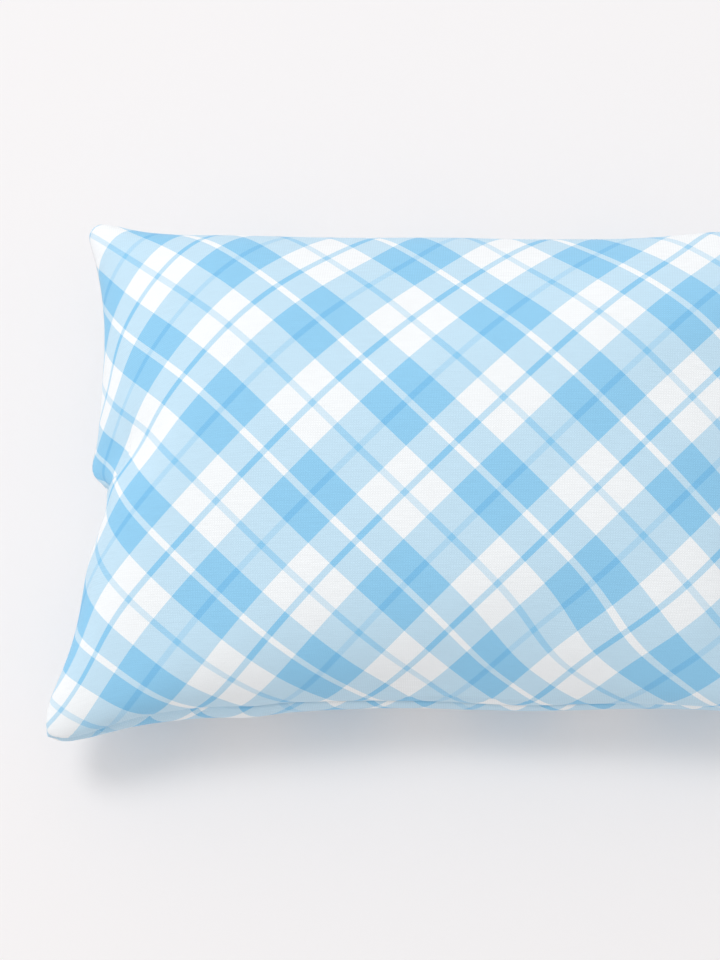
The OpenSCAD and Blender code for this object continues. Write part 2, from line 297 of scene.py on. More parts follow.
@dataclass(frozen=True)
class PlaidCloth:
    """Printed plain weave: a two-way plaid turned 45 degrees to the threads, white and two blues."""

    name: str
    cut: Pair
    offset: Pair
    stitch_row: float
    period: float = 0.07994
    slant: float = 46.16
    stripe: float = 0.05
    left_stripes: Pair = (-1.0, 0.7)
    right_stripes: Pair = (0.4, 1.05)
    deepest: float = 2.5
    white: Colour = (0.885, 0.907, 0.925)
    light: Colour = (0.545, 0.74, 0.875)
    dark: Colour = (0.278, 0.59, 0.84)
    deep: Colour = (0.19, 0.505, 0.80)
    thread: float = 0.0015
    crossing_height: float = 0.25
    thread_height: float = 0.125
    slubs: Pair = (90.0, 620.0)
    # painted shade: how much the colour darkens in the hollows of the weave
    painted_weave_shade: float = 0.20
    shade_of_slub: float = 0.10
    shade_at_least: float = 0.85
    slub_height: float = 0.4
    stitch_relief: float = 2.0
    relief: float = 0.00012
    sewing_thread: Colour = (0.86, 0.91, 0.94)
    stitch_pitch: float = 0.0032
    stitch_share: float = 0.72
    stitch_width: float = 0.0008
    stitch_reach: float = 0.166
    far_side: float = 0.13

    def bands(self, across: Value, on_blue: float, on_white: float) -> Value:
        """Depth of blue of one set of bands, 0 for white and 1 for a band, with its middle stripes added."""
        part = across.fraction()
        return (part < 0.5) + part.near(0.25, self.stripe) * on_blue + part.near(0.75, self.stripe) * on_white

    def make(self) -> Finish:
        """Builds the material on the panel's own UV map, which is the flat cloth.

        Returns:
            The material.
        """
        shader = Shader(self.name)
        u, v, _ = shader.split(shader.node("ShaderNodeUVMap", {"uv_map": "flat"}))
        x = (u - 0.5) * self.cut[0]
        y = (v - 0.5) * self.cut[1]
        along = math.cos(math.radians(self.slant)) / self.period
        across = math.sin(math.radians(self.slant)) / self.period
        left = x * along + y * across - self.offset[0] / self.period
        right = x * across - y * along - self.offset[1] / self.period
        depth = self.bands(left, *self.left_stripes) + self.bands(right, *self.right_stripes)
        stops = [(0.0, self.white), (0.4, self.light), (0.8, self.dark), (1.0, self.deep)]
        colour = shader.node("ShaderNodeValToRGB", {"stops": stops}, Fac=depth / self.deepest)
        turn = 2 * math.pi / self.thread
        warp = (x * turn).sine()
        weft = (y * turn).sine()
        weave = warp * weft * self.crossing_height + 0.5 + (warp + weft) * self.thread_height
        slub = shader.noise(shader.node("ShaderNodeCombineXYZ", X=x * self.slubs[0], Y=y * self.slubs[1]), 1.0)
        # painted shade of the weave, darker in its hollows and lighter on its crossings, with random thread tone
        # from the slubs
        shade = weave * self.painted_weave_shade + slub * self.shade_of_slub + self.shade_at_least
        stitch = self.stitches(shader)
        colour = shader.mix(stitch, shader.shaded(colour, shade), self.sewing_thread)
        height = weave + slub * self.slub_height + stitch * self.stitch_relief
        return shader.finish(colour, roughness=0.85, height=height, depth=self.relief, Sheen_Weight=0.12,
                             Sheen_Roughness=0.5, Specular_IOR_Level=0.25)

    def stitches(self, shader: Shader) -> Value:
        """Mask of the row of stitches that holds the zip's tape, beside the slot in the far side.

        Args:
            shader: the material under construction.

        Returns:
            One on a stitch, else zero.
        """
        x, y, z = shader.split(shader.place())
        row = z.near(self.stitch_row, self.stitch_width) * (y > self.far_side) * (abs(x) < self.stitch_reach)
        return row * ((x / self.stitch_pitch).fraction() < self.stitch_share)


@dataclass(frozen=True)
class PlainCloth:
    """Plain woven cloth in one colour, on Object coordinates."""

    name: str
    colour: Colour
    thread: float = 0.0007
    weave: Weave = Weave.PLAIN
    zigzag: float = 0.004

    def make(self) -> Finish:
        """Builds the material.

        Returns:
            The material.
        """
        shader = Shader(self.name)
        where = shader.place()
        x, y, z = shader.split(where)
        turn = 2 * math.pi / self.thread
        if self.weave is Weave.HERRINGBONE:
            aside = abs((z / self.zigzag).fraction() - 0.5) * self.zigzag
            threads = ((x + aside) * turn).sine()
        else:
            threads = (x * turn).sine() * ((y + z) * turn).sine()
        weave = threads * 0.5 + 0.5
        # painted shade of the weave, darker in its hollows, with random tone from the noise
        shade = weave * 0.10 + shader.noise(where, scale=90.0) * 0.08 + 0.86
        return shader.finish(shader.shaded(self.colour, shade), roughness=0.88, height=weave, depth=0.0001,
                             Specular_IOR_Level=0.25)


@dataclass(frozen=True)
class LooseFibre:
    """Crimped white fibre, seen as a soft lumpy mass."""

    name: str
    colour: Colour = (0.90, 0.90, 0.89)

    def make(self) -> Finish:
        """Builds the material.

        Returns:
            The material.
        """
        shader = Shader(self.name)
        where = shader.place()
        lumps = shader.noise(where, scale=70.0, detail=5.0)
        strands = shader.noise(where, scale=900.0, detail=3.0)
        # painted shade: the colour is darker where the lumps and strands sink in the bump
        colour = shader.shaded(self.colour, lumps * 0.12 + strands * 0.10 + 0.84)
        return shader.finish(colour, roughness=0.95, height=lumps + strands * 0.5, depth=0.002)


@dataclass(frozen=True)
class CoilNylon:
    """Satin nylon monofilament, with a faint milky variation along the row."""

    name: str
    colour: Colour = (0.74, 0.83, 0.90)
    milk: Colour = (0.86, 0.90, 0.93)

    def make(self) -> Finish:
        """Builds the material.

        Returns:
            The material.
        """
        shader = Shader(self.name)
        milky = shader.noise(shader.place(), scale=250.0)
        colour = shader.mix(milky * 0.35, self.colour, self.milk)
        return shader.finish(colour, roughness=milky * 0.15 + 0.28, Specular_IOR_Level=0.5)


@dataclass(frozen=True)
class SatinNickel:
    """Barrel-plated metal: fine handling marks and a little wear in the gloss."""

    name: str
    colour: Colour = (0.66, 0.65, 0.63)
    worn: Colour = (0.50, 0.49, 0.47)

    def make(self) -> Finish:
        """Builds the material.

        Returns:
            The material.
        """
        shader = Shader(self.name)
        where = shader.place()
        marks = shader.noise(where, scale=1400.0, detail=4.0)
        wear = shader.noise(where, scale=260.0)
        colour = shader.mix(wear * 0.5, self.colour, self.worn)
        return shader.finish(colour, roughness=marks * 0.18 + wear * 0.12 + 0.18, height=marks, depth=0.00004,
                             Metallic=1.0)


# Modelling by operators


def deselect() -> None:
    """Deselects all objects."""
    bpy.ops.object.select_all(action="DESELECT")


def only(piece: Piece) -> None:
    """Makes one piece the sole selected and active object.

    Args:
        piece: the piece.
    """
    deselect()
    piece.select_set(True)
    bpy.context.view_layer.objects.active = piece


def rows(data: bpy.types.bpy_prop_collection, key: str) -> np.ndarray:
    """Reads a vector of each element of a collection.

    Args:
        data: the collection.
        key: the vector's name.

    Returns:
        The vectors, one row each.
    """
    found = np.empty(len(data) * 3, dtype=np.float32)
    data.foreach_get(key, found)
    return found.reshape(-1, 3).astype(float)


def coordinates(piece: Piece) -> np.ndarray:
    """Vertex places of a piece, one row each."""
    return rows(piece.data.vertices, "co")


def move_to(piece: Piece, places: np.ndarray) -> None:
    """Writes vertex places back to a piece."""
    piece.data.vertices.foreach_set("co", places.astype(np.float32).ravel())
    piece.data.update()


def named(name: str) -> Piece:
    """Names the object that was just added, and its mesh.

    Args:
        name: the name.

    Returns:
        The object.
    """
    made = bpy.context.object
    made.name = name
    made.data.name = name
    return made


def add_grid(name: str, cells: tuple[int, int]) -> Piece:
    """Adds a flat grid of unit size.

    Args:
        name: the piece's name.
        cells: how many cells it has each way.

    Returns:
        The grid.
    """
    deselect()
    bpy.ops.mesh.primitive_grid_add(x_subdivisions=cells[0], y_subdivisions=cells[1], size=1, calc_uvs=True)
    return named(name)


@contextmanager
def editing(piece: Piece, kind: str = "VERT", chosen: list[bool] | None = None) -> Iterator[None]:
    """Opens a piece in edit mode.

    Args:
        piece: the piece.
        kind: the select mode, VERT, EDGE or FACE.
        chosen: which edges or faces are selected; if left out, the whole piece is.
    """
    only(piece)
    bpy.ops.object.mode_set(mode="EDIT")
    bpy.ops.mesh.select_mode(type=kind)
    bpy.ops.mesh.select_all(action="SELECT" if chosen is None else "DESELECT")
    if chosen is not None:
        bpy.ops.object.mode_set(mode="OBJECT")
        parts = piece.data.polygons if kind == "FACE" else piece.data.edges
        parts.foreach_set("select", chosen)
        bpy.ops.object.mode_set(mode="EDIT")
    yield
    bpy.ops.object.mode_set(mode="OBJECT")


def turn_over(piece: Piece) -> None:
    """Turns the faces of a piece the other way."""
    with editing(piece):
        bpy.ops.mesh.flip_normals()


def apply_modifier(piece: Piece, kind: str, **settings: Any) -> None:
    """Adds a modifier and applies it.

    Args:
        piece: the piece to change.
        kind: the modifier's type.
        settings: its properties.
    """
    only(piece)
    made = piece.modifiers.new(kind.title(), kind)
    for key, value in settings.items():
        setattr(made, key, value)
    bpy.ops.object.modifier_apply(modifier=made.name)


def dress(piece: Piece, material: Finish) -> None:
    """Gives a piece one material in all its slots.

    Args:
        piece: the piece.
        material: its finish.
    """
    if not piece.data.materials:
        piece.data.materials.append(material)
    for slot in piece.material_slots:
        slot.material = material


def declare(piece: Piece, node: str, material: Finish, padded: bool = False) -> None:
    """Dresses a piece of the cushion's body, attaches it to the cushion and hides the CAD node that it stands
    for.

    Args:
        piece: the piece.
        node: the CAD node that it stands for.
        material: its finish.
        padded: whether it is a padded piece, which is shaded smooth.
    """
    dress(piece, material)
    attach(piece, "cushion")
    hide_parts(node)
    if padded:
        only(piece)
        bpy.ops.object.shade_smooth()
    LOG.info("%s: %d faces", piece.name, len(piece.data.polygons))


def aim(item: Piece, way: Vector) -> None:
    """Points a lamp or a camera along a direction."""
    item.rotation_mode = "QUATERNION"
    item.rotation_quaternion = way.to_track_quat("-Z", "Y")


def hill(place: np.ndarray, middle: float, width: float | np.ndarray) -> np.ndarray:
    """A soft hill of height 1."""
    return np.exp(-((place - middle) / width) ** 2)


def smooth_step(share: np.ndarray) -> np.ndarray:
    """A share from 0 to 1, eased at both ends."""
    return share * share * (3 - 2 * share)


# The cover


@dataclass
class SeamLine:
    """Sewn outline of the filled cover: drawn-in sides and four tips, as the cushion lies in the photograph."""

    half_length: float = 0.244
    half_width: float = 0.164
    short_draw: float = 0.018
    long_draw: float = 0.017
    long_straight: float = 0.692
    short_straight: float = 0.396
    height: float = 0.058
    lean: float = 0.010
    near_draw: float = 0.003
    far_left_tip: Triple = (-0.005, -0.002, -0.004)
    near_left_tip: Triple = (-0.011, -0.012, -0.004)
    notch_place: float = -0.018
    notch_widths: Pair = (0.009, 0.022)
    notch_depth: float = 0.018
    bulge_place: float = -0.001
    bulge_width: float = 0.013
    bulge: float = 0.003
    slot_half_length: float = 0.162
    slot_half_height: float = 0.00395
    slot_ends: Pair = (0.008, 0.024)
    slot_set_back: float = 0.0008
    tip_powers: tuple[int, int, int] = (4, 5, 3)
    left_power: int = 8
    far_share: float = 0.999

    @staticmethod
    def ear(share: np.ndarray, straight: float) -> np.ndarray:
        """Rise of a side from its straight middle, 0, to its tip, 1."""
        return np.clip((np.abs(share) - straight) / (1 - straight), 0, None) ** 2

    def plan(self, u: np.ndarray, v: np.ndarray) -> tuple[np.ndarray, np.ndarray, np.ndarray]:
        """Place of a point given as shares of the length and the width.

        Args:
            u: the share of the length, from -1 to 1.
            v: the share of the width, from -1 to 1.

        Returns:
            The two plan coordinates, and the lift of the seam there.
        """
        x = u * (self.half_length - self.short_draw * (1 - self.ear(v, self.short_straight)))
        y = v * (self.half_width - self.long_draw * (1 - self.ear(u, self.long_straight)))
        x = x + self.lean * v
        y = y + self.near_draw * np.clip(-v, 0, 1) * np.clip(1 - self.ear(u, self.long_straight), 0, 1)
        z = np.zeros_like(x)
        along, across, sink = self.tip_powers
        for way, tip in ((1, self.far_left_tip), (-1, self.near_left_tip)):
            share = np.clip(-u, 0, 1) ** along * np.clip(way * v, 0, 1) ** across
            x, y, z = x + share * tip[0], y + share * tip[1], z + share ** sink * tip[2]
        left = np.clip(-u, 0, 1) ** self.left_power
        notch = hill(y, self.notch_place, np.where(y > self.notch_place, *self.notch_widths))
        bulge = hill(y, self.bulge_place, self.bulge_width)
        return x + left * (self.notch_depth * notch - self.bulge * bulge), y, z

    def slot(self, x: np.ndarray, v: np.ndarray) -> np.ndarray:
        """Tells how far the seam is open for the zip.

        Args:
            x: the places along the length.
            v: the shares of the width.

        Returns:
            The opening at each point, from 0 to 1.
        """
        end = np.where(x < 0, *self.slot_ends)
        inside = np.clip((self.slot_half_length + end - np.abs(x)) / end, 0, 1)
        return np.where(v > self.far_share, smooth_step(inside), 0.0)


@dataclass(frozen=True)
class Ease:
    """A place where the cloth was eased as it was sewn and filled, so that its pattern lies shifted there."""

    place: Pair
    reach: Pair
    shift: Pair

    def slide(self, flat: np.ndarray) -> np.ndarray:
        """Shift of the pattern along and across, at places on the flat cloth."""
        away = ((flat[:, :2] - self.place) / self.reach) ** 2
        return np.exp(-away.sum(axis=1))[:, None] * np.array(self.shift)


@dataclass(frozen=True)
class Swell:
    """A place where the filling pushes the cloth out a little further."""

    place: Pair
    reach: float
    height: float

    def fold(self, flat: np.ndarray) -> np.ndarray:
        """Height of the swell at places on the flat cloth."""
        return self.height * np.exp(-(((flat[:, :2] - self.place) / self.reach) ** 2).sum(axis=1))


@dataclass(frozen=True)
class Tuck:
    """A small fold beside the seam: one side of its line slips under the other."""

    line: tuple[Pair, Pair, Pair]
    box: tuple[float, float, float, float]
    depth: float = 0.006
    lip: float = 0.0012
    spread: Pair = (0.013, 0.007)
    taper: Pair = (1.2, 0.0)
    edge: float = 0.0006
    points: int = 61

    def covers(self, flat: np.ndarray) -> np.ndarray:
        """Which places on the flat cloth lie in the part that has to be fine enough for the fold."""
        low_x, high_x, low_y, high_y = self.box
        return (flat[:, 0] > low_x) & (flat[:, 0] < high_x) & (flat[:, 1] > low_y) & (flat[:, 1] < high_y)

    def fold(self, flat: np.ndarray) -> np.ndarray:
        """Height of the fold at places on the flat cloth.

        Args:
            flat: the places.

        Returns:
            Heights outwards, one for each place.
        """
        share = np.linspace(0, 1, self.points)
        start, bend, end = (np.array(point)[None] for point in self.line)
        late = share[:, None]
        curve = (1 - late) ** 2 * start + 2 * late * (1 - late) * bend + late ** 2 * end
        along = np.gradient(curve, axis=0)
        along /= np.linalg.norm(along, axis=1)[:, None]
        away = flat[:, None, :2] - curve[None]
        nearest = np.argmin((away ** 2).sum(axis=2), axis=1)
        gap = away[np.arange(len(flat)), nearest]
        aside = along[nearest, 0] * gap[:, 1] - along[nearest, 1] * gap[:, 0]
        distance = np.hypot(gap[:, 0], gap[:, 1])
        fade = (1 - share[nearest]) ** self.taper[0] * share[nearest] ** self.taper[1]
        under = np.clip(aside / self.edge / 2 + 0.5, 0, 1)
        sunk = -self.depth * under * np.exp(-distance / self.spread[0])
        return fade * (sunk + self.lip * (1 - under) * np.exp(-distance / self.spread[1]))


@dataclass
class Panel:
    """One cloth panel of the cover, cut flat and filled inside the seam."""

    name: str
    node: str
    side: Side
    rise: float
    long_shape: Pair
    cross_shape: Pair
    corners: float
    seam: SeamLine
    swells: tuple[Swell, ...]
    eases: tuple[Ease, ...] = ()
    tucks: tuple[Tuck, ...] = ()
    cut: Pair = (0.508, 0.356)
    cells: tuple[int, int] = (78, 54)
    cloth: float = 0.0008
    corner_round: float = 0.024
    hem: float = 0.007
    edge_power: int = 4
    profile_steps: int = 2001
    groove: float = 0.0012
    near_groove: float = 0.003
    groove_full: float = 0.13
    sag: float = 0.002
    sag_full: Pair = (0.2, 0.13)
    near_sag: Waves = (
        (-0.195, 0.050, 0.003), (-0.131, 0.020, 0.002), (0.01, 0.06, 0.0015), (0.17, 0.07, -0.005))
    far_overhang: Waves = ((0.166, 0.045, 0.0068), (-0.010, 0.045, 0.0025))
    overhang_height: float = 0.045
    near_waves: Waves = ((0.039, 0.045, 0.003), (-0.131, 0.014, 0.002))
    wave_height: float = 0.030
    side_full: float = 0.14
    side_power: int = 9
    even_from: float = 0.060
    even_full: float = 0.120
    even_passes: int = 40
    even_keep: float = 0.5
    stitch_reach: float = 0.005
    hem_from: float = 0.13
    bow: float = 0.004
    cloth_settings: tuple[tuple[str, float], ...] = (
        ("quality", 8), ("mass", 0.12), ("air_damping", 4.0), ("tension_stiffness", 20.0),
        ("compression_stiffness", 0.15), ("shear_stiffness", 0.5), ("bending_stiffness", 10.0),
        ("uniform_pressure_force", 6.0))
    table_gap: float = 0.001
    table_friction: float = 5.0
    draw_frames: int = 20
    frames: int = 60

    @staticmethod
    def profile(share: np.ndarray, shape: Pair) -> np.ndarray:
        """Height of a profile, 1 in the middle and 0 at the edge."""
        return np.clip(1 - np.abs(share) ** shape[0], 0, 1) ** shape[1]

    def unrolled(self, share: np.ndarray, half: float, shape: Pair) -> np.ndarray:
        """Plan share of a point from its share of the cloth along a profile.

        Args:
            share: the share of the cloth's length, from -1 to 1.
            half: half the chord.
            shape: the profile.

        Returns:
            The share of the chord.
        """
        steps = np.linspace(0, 1, self.profile_steps)
        height = self.rise * self.profile(steps, shape)
        arc = np.concatenate([[0], np.cumsum(np.hypot(np.diff(steps) * half, np.diff(height)))])
        return np.sign(share) * np.interp(np.abs(share), arc / arc[-1], steps)

    def filled(self, flat: np.ndarray) -> np.ndarray:
        """Smooth filled form, which carries the seam and stands in where the simulation is skipped.

        Args:
            flat: places on the flat cloth.

        Returns:
            Places on the filled panel.
        """
        s = flat[:, 0] / (self.cut[0] / 2)
        t = flat[:, 1] / (self.cut[1] / 2)
        seam = self.seam
        u_mid = self.unrolled(s, seam.half_length - seam.short_draw, self.long_shape)
        v_mid = self.unrolled(t, seam.half_width - seam.long_draw, self.cross_shape)
        u = s + (u_mid - s) * (1 - t ** self.edge_power)
        v = t + (v_mid - t) * (1 - s ** self.edge_power)
        x, y, lift = seam.plan(u, v)
        z = self.rise * self.profile(u, self.long_shape) * self.profile(v, self.cross_shape)
        z = np.where(self.on_edge(), 0, z * (1 + self.corners * (u * v) ** 2))
        slot = seam.slot(x, v)
        z = np.maximum(z, slot * seam.slot_half_height)
        y = y - slot * seam.slot_set_back
        return np.stack([x, y, seam.height + lift + self.side.value * z], axis=1)

    def on_edge(self) -> np.ndarray:
        """Finds the edge of the cloth.

        Returns:
            Which vertices of the grid lie on it.
        """
        edge = np.zeros((self.cells[1] + 1, self.cells[0] + 1), dtype=bool)
        edge[[0, -1]] = True
        edge[:, [0, -1]] = True
        return edge.ravel()

    def rounded(self, places: np.ndarray) -> np.ndarray:
        """Rounds off the four corners of the cut.

        Args:
            places: places on the flat cloth.

        Returns:
            The places with rounded corners.
        """
        half = np.array(self.cut) / 2
        part = (np.abs(places[:, :2]) - half + self.corner_round) / self.corner_round
        corner = np.all(part > 0, axis=1)
        bent = part * np.sqrt(np.maximum(1 - part[:, ::-1] ** 2 / 2, 0))
        out = places.copy()
        out[corner, :2] = (np.sign(places[:, :2]) * (half - self.corner_round * (1 - bent)))[corner]
        return out

    def start_flat(self) -> Piece:
        """Adds the flat cut panel as a grid at the seam's height, facing outwards, with its flat UV map.

        Returns:
            The panel.
        """
        piece = add_grid(self.name, self.cells)
        places = coordinates(piece)
        places[:, :2] *= self.cut
        places = self.rounded(places)
        swell = np.cos(np.pi * places[:, 0] / self.cut[0]) * np.cos(np.pi * places[:, 1] / self.cut[1])
        places[:, 2] = self.seam.height + self.side.value * self.bow * swell
        move_to(piece, places)
        corners = np.empty(len(piece.data.loops), dtype=np.int32)
        piece.data.loops.foreach_get("vertex_index", corners)
        layer = piece.data.uv_layers[0]
        layer.name = "flat"
        printed = places[:, :2] + sum((ease.slide(places) for ease in self.eases), np.zeros((1, 2)))
        layer.uv.foreach_set("vector", (printed[corners] / self.cut + 0.5).astype(np.float32).ravel())
        kept = piece.data.attributes.new("cut", "FLOAT_VECTOR", "POINT")
        kept.data.foreach_set("vector", places.astype(np.float32).ravel())
        if self.side is Side.BACK:
            turn_over(piece)
        return piece

    def fill(self, piece: Piece, start: np.ndarray) -> None:
        """Fills the flat panel by cloth simulation, while its pinned seam is drawn in to its filled outline.

        Args:
            piece: the flat panel.
            start: places of the smooth filled form, of which the seam is used.
        """
        piece.shape_key_add(name="flat")
        drawn = piece.shape_key_add(name="drawn in")
        drawn.data.foreach_set("co", start.astype(np.float32).ravel())
        for frame, value in ((1, 0.0), (self.draw_frames, 1.0)):
            drawn.value = value
            drawn.keyframe_insert("value", frame=frame)
        cloth = piece.modifiers.new("Cloth", "CLOTH")
        for key, value in self.cloth_settings:
            setattr(cloth.settings, key, value)
        cloth.settings.vertex_group_mass = "seam"
        cloth.settings.use_pressure = True
        cloth.settings.effector_weights.gravity = 0.0
        cloth.collision_settings.use_self_collision = False
        cloth.collision_settings.use_collision = self.side is Side.BACK
        table = self.lay_table(cloth) if self.side is Side.BACK else None
        scene = bpy.context.scene
        scene.frame_start = 1
        scene.frame_end = self.frames
        cloth.point_cache.frame_start = 1
        cloth.point_cache.frame_end = self.frames
        for frame in range(1, self.frames + 1):
            scene.frame_set(frame)
        only(piece)
        bpy.ops.object.convert(target="MESH")
        piece.animation_data_clear()
        if table is not None:
            bpy.data.objects.remove(table, do_unlink=True)
        scene.frame_set(1)

    def lay_table(self, cloth: bpy.types.ClothModifier) -> Piece:
        """Adds the plane that the back panel comes to rest on.

        Args:
            cloth: the panel's cloth modifier.

        Returns:
            The plane, to be removed after the simulation.
        """
        cloth.collision_settings.distance_min = self.table_gap
        deselect()
        bpy.ops.mesh.primitive_plane_add(size=2)
        table = bpy.context.object
        table.modifiers.new("Collision", "COLLISION")
        table.collision.thickness_outer = self.table_gap
        table.collision.cloth_friction = self.table_friction
        return table

    @staticmethod
    def waves(x: np.ndarray, swells: Waves) -> np.ndarray:
        """Sum of soft swells along a side, each with its place, width and height."""
        return sum(high * hill(x, place, width) for place, width, high in swells)

    def outer(self, place: np.ndarray, full: float) -> np.ndarray:
        """Share of a move that only the outer parts of the cushion make, with the sign of the side."""
        return np.clip(place / full, -1, 1) ** self.side_power

    def evened(self, places: np.ndarray, start: np.ndarray, flat: np.ndarray) -> np.ndarray:
        """Evens out the small folds of the far side, where the cloth is drawn tight along the zip.

        Args:
            places: the filled panel.
            start: the smooth filled form.
            flat: places on the flat cloth.

        Returns:
            The evened places.
        """
        shape = (self.cells[1] + 1, self.cells[0] + 1, 3)
        rough = (places - start).reshape(shape)
        even = rough.copy()
        for _ in range(self.even_passes):
            beside = even[1:-1, :-2] + even[1:-1, 2:] + even[:-2, 1:-1] + even[2:, 1:-1]
            even[1:-1, 1:-1] = even[1:-1, 1:-1] * self.even_keep + beside * ((1 - self.even_keep) / 4)
        share = np.clip((flat[:, 1] - self.even_from) / (self.even_full - self.even_from), 0, 1)
        return places + smooth_step(share)[:, None] * (even - rough).reshape(-1, 3)

    def settle(self, places: np.ndarray, edge: np.ndarray) -> np.ndarray:
        """Sets the base on the floor, lets the sides sag and swell, and pulls the stitched seam in a little.

        Args:
            places: the filled panel.
            edge: which places lie on the seam.

        Returns:
            The settled places.
        """
        places = places.copy()
        x, y, z = places.T
        if self.side is Side.BACK:
            share = np.where(edge, 1.0, np.clip(z / self.seam.height, 0, 1))
            z[:] = np.maximum(z - z.min() * (1 - share), 0)
            swell = np.sin(np.pi * share)
            near = np.where(y < 0, self.waves(x, self.near_sag), 0.0)
            x += self.outer(x, self.sag_full[0]) * self.sag * swell
            y += self.outer(y, self.sag_full[1]) * (self.sag + near) * swell
        else:
            share = np.where(edge, 0.0, np.clip((z - self.seam.height) / self.overhang_height, 0, 1))
            over = self.waves(x, self.far_overhang) * self.outer(np.maximum(y, 0), self.side_full)
            y += over * np.sin(np.pi * share)
        beside = np.clip(1 - np.abs(z - self.seam.height) / self.wave_height, 0, 1)
        beside *= self.outer(np.maximum(-y, 0), self.side_full)
        y -= beside * self.waves(x, self.near_waves)
        rim = places[edge, :2]
        depth = self.groove + (self.near_groove - self.groove) * np.clip(-rim[:, 1] / self.groove_full, 0, 1)
        places[edge, :2] -= depth[:, None] * (rim / np.hypot(*rim.T)[:, None])
        return places

    def refine(self, piece: Piece) -> None:
        """Divides the cloth more finely round the tucks.

        Args:
            piece: the filled panel.
        """
        flat = self.cut_places(piece)
        inside = np.any([tuck.covers(flat) for tuck in self.tucks], axis=0)
        chosen = [bool(inside[list(face.vertices)].all()) for face in piece.data.polygons]
        with editing(piece, "FACE", chosen):
            bpy.ops.mesh.subdivide(number_cuts=2, smoothness=0.0)

    def lay_folds(self, piece: Piece) -> None:
        """Lays the tucks and swells; the stitched edge itself stays where it is.

        Args:
            piece: the filled panel, with its flat places as the attribute "cut".
        """
        if self.tucks:
            self.refine(piece)
        flat = self.cut_places(piece)
        normals = rows(piece.data.vertex_normals, "vector")
        beyond = np.clip(np.abs(flat[:, :2]) - np.array(self.cut) / 2 + self.corner_round, 0, None)
        from_edge = self.corner_round - np.hypot(beyond[:, 0], beyond[:, 1])
        height = sum(shape.fold(flat) for shape in self.tucks + self.swells)
        height = height * np.clip(from_edge / self.stitch_reach, 0, 1)
        move_to(piece, coordinates(piece) + normals * height[:, None])

    @staticmethod
    def cut_places(piece: Piece) -> np.ndarray:
        """Flat places of a panel's vertices, from the attribute that carries them."""
        return rows(piece.data.attributes["cut"].data, "vector")

    def turn_hem(self, piece: Piece) -> None:
        """Turns the cloth's edge to the inside along the zip's slot.

        Args:
            piece: the filled panel, still a single sheet.
        """
        mesh = piece.data
        sides = np.empty(len(mesh.loops), dtype=np.int32)
        mesh.loops.foreach_get("edge_index", sides)
        used = np.bincount(sides, minlength=len(mesh.edges))
        places = coordinates(piece)
        beside = (places[:, 1] > self.hem_from) & (np.abs(places[:, 0]) < self.seam.slot_half_length)
        chosen = [bool(used[side.index] == 1 and beside[list(side.vertices)].all()) for side in mesh.edges]
        with editing(piece, "EDGE", chosen):
            bpy.ops.mesh.extrude_region_move(TRANSFORM_OT_translate={"value": (0, -self.hem, 0)})

    def build(self, simulate: bool) -> tuple[Piece, np.ndarray]:
        """Builds the panel.

        Args:
            simulate: whether the cloth simulation runs; without it, the smooth form stands for the result.

        Returns:
            The finished panel, and the places of its grid before it was thickened.
        """
        piece = self.start_flat()
        flat = coordinates(piece)
        edge = self.on_edge()
        piece.vertex_groups.new(name="seam").add([int(k) for k in np.nonzero(edge)[0]], 1.0, "REPLACE")
        start = self.filled(flat)
        if simulate:
            self.fill(piece, start)
        else:
            move_to(piece, start)
        apply_modifier(piece, "SMOOTH", factor=0.5, iterations=3, vertex_group="seam", invert_vertex_group=True)
        form = self.settle(self.evened(coordinates(piece), start, flat), edge)
        move_to(piece, form)
        apply_modifier(piece, "SUBSURF", levels=1, render_levels=1, boundary_smooth="PRESERVE_CORNERS")
        self.lay_folds(piece)
        piece.data.attributes.remove(piece.data.attributes["cut"])
        self.turn_hem(piece)
        apply_modifier(piece, "SOLIDIFY", thickness=self.cloth, offset=-1.0)
        return piece, form


